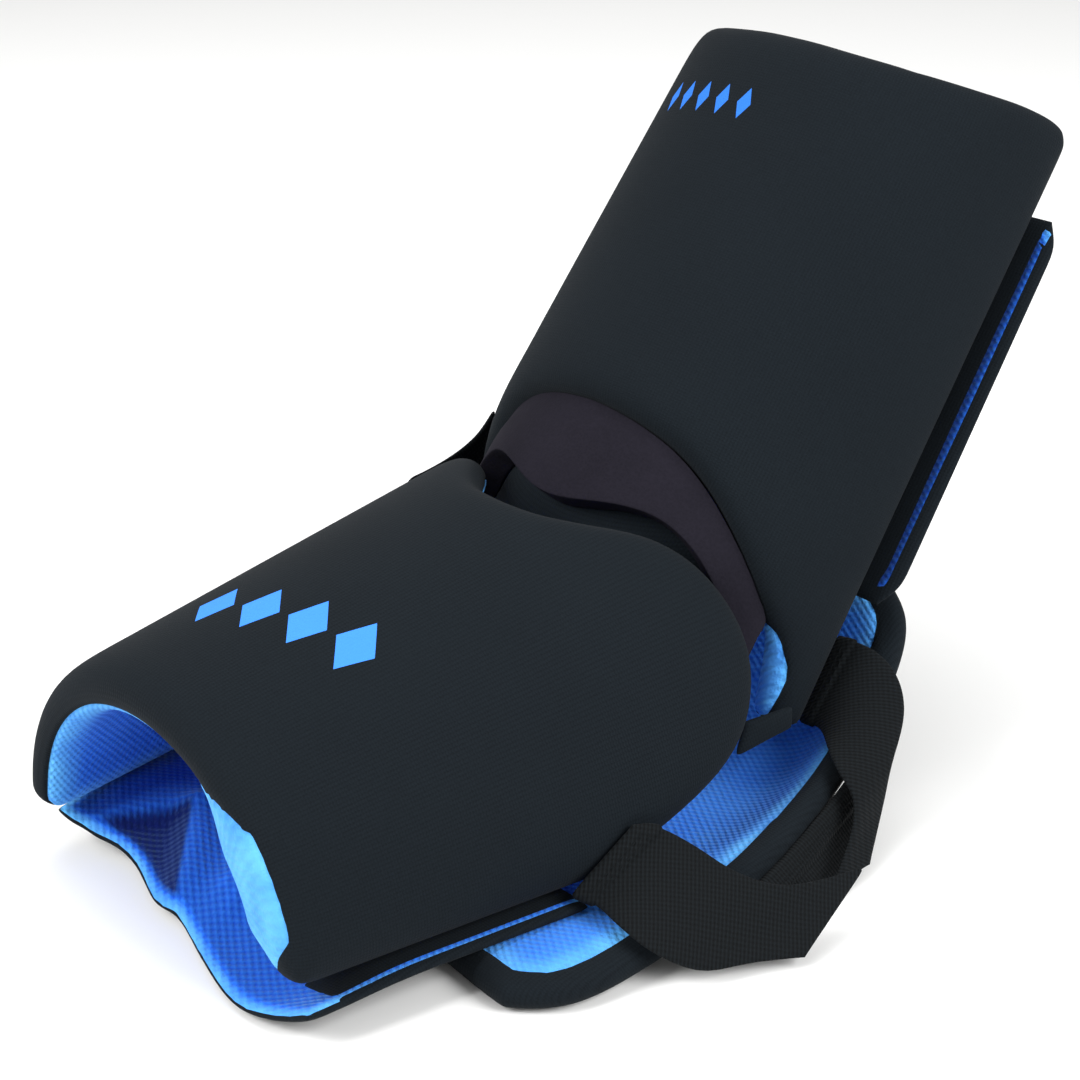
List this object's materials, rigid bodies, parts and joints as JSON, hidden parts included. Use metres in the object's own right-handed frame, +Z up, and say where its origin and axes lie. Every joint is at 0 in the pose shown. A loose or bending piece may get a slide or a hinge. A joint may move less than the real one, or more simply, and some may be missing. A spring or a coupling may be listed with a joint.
{
  "type": "hockey arm guard",
  "caption": "Bent padded arm guard for a hockey goalkeeper, with foam half-pipe shells for forearm and upper arm, lined closing flaps, a hinge tongue, an elbow cup and elastic straps.",
  "frame": {"origin": "centre of the outline on the floor it lies on", "axes": "+X from the wrist end towards the elbow and upper arm, +Y towards the side away from the straps, +Z up"},
  "size_m": [0.2696, 0.1934, 0.1887],
  "materials": {
    "black_knit": "matt stretch knit bonded to foam",
    "blue_plush": "brushed loop lining",
    "grey_foam": "matt cut foam",
    "black_elastic": "woven ribbed elastic"
  },
  "bodies": {
    "root": {"forearm_shell": "black_knit", "forearm_flap": "blue_plush", "upper_arm_shell": "black_knit", "upper_arm_flap": "blue_plush", "hinge_tongue": "grey_foam", "hinge_web": "black_elastic", "elbow_pad": "black_knit", "near_strap_forearm": "black_elastic", "near_strap_upper": "black_elastic", "near_strap_pad": "black_elastic", "far_strap": "black_elastic", "near_link": "black_elastic", "far_link": "black_elastic"}
  },
  "joints": []
}
